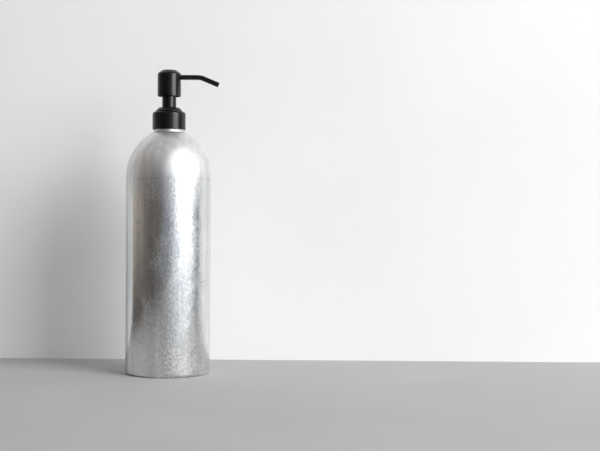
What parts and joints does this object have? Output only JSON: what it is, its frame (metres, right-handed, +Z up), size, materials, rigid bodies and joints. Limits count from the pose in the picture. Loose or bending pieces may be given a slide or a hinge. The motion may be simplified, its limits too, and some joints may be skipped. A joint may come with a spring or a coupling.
{
  "type": "dish soap bottle with pump",
  "caption": "Round aluminium soap bottle with an ogive shoulder and a black screw-on pump: press head, swivelling bent spout, sprung piston, valve balls and dip tube.",
  "frame": {"origin": "middle of the footprint box, on the surface the bottle stands on; the footprint takes in the spout, so the bottle's axis is at x = -3.75 mm, y = 0", "axes": "+Z up along the bottle's axis, +X the way the spout points at rest"},
  "size_m": [0.0874, 0.08, 0.2865],
  "materials": {
    "bare_aluminium": "satin",
    "black_steel": "satin",
    "black_plastic": "matte",
    "white_plastic": "satin",
    "natural_plastic": "satin",
    "bright_steel": "polished",
    "rubber": "matte"
  },
  "bodies": {
    "bottle": {"bottle": "bare_aluminium"},
    "pump": {"housing": "white_plastic", "chaplet": "white_plastic", "neck_sleeve": "black_steel", "gasket": "rubber", "dip_tube": "natural_plastic", "inlet_ball": "bright_steel", "ball_retainer": "white_plastic", "return_spring": "bright_steel"},
    "collar": {"collar_cover": "black_steel", "collar_liner": "black_plastic"},
    "piston": {"piston": "natural_plastic"},
    "head": {"head_shell": "black_steel", "head_core": "black_plastic", "spout": "black_steel", "stem": "white_plastic", "outlet_ball": "bright_steel"}
  },
  "joints": [
    {"name": "pump_lift", "type": "slide", "parent": "bottle", "child": "pump", "axis": [0, 0, 1], "range_m": [0, 0.00635]},
    {"name": "collar_screw", "type": "hinge", "parent": "pump", "child": "collar", "pos_m": [-0.00375, 0, 0.2389], "axis": [0, 0, 1], "range_deg": [0, 540]},
    {"name": "pump_stroke", "type": "slide", "parent": "pump", "child": "piston", "axis": [0, 0, -1], "range_m": [0, 0.0105], "stiffness_N_per_m": 700, "springref_m": -0.012, "deforming": ["return_spring"]},
    {"name": "head_swivel", "type": "hinge", "parent": "piston", "child": "head", "pos_m": [-0.00375, 0, 0.2743], "axis": [0, 0, 1], "continuous": true}
  ],
  "couplings": [
    {"joint": "collar_screw", "follows": "pump_lift", "rad_per_m": 1484.2}
  ]
}
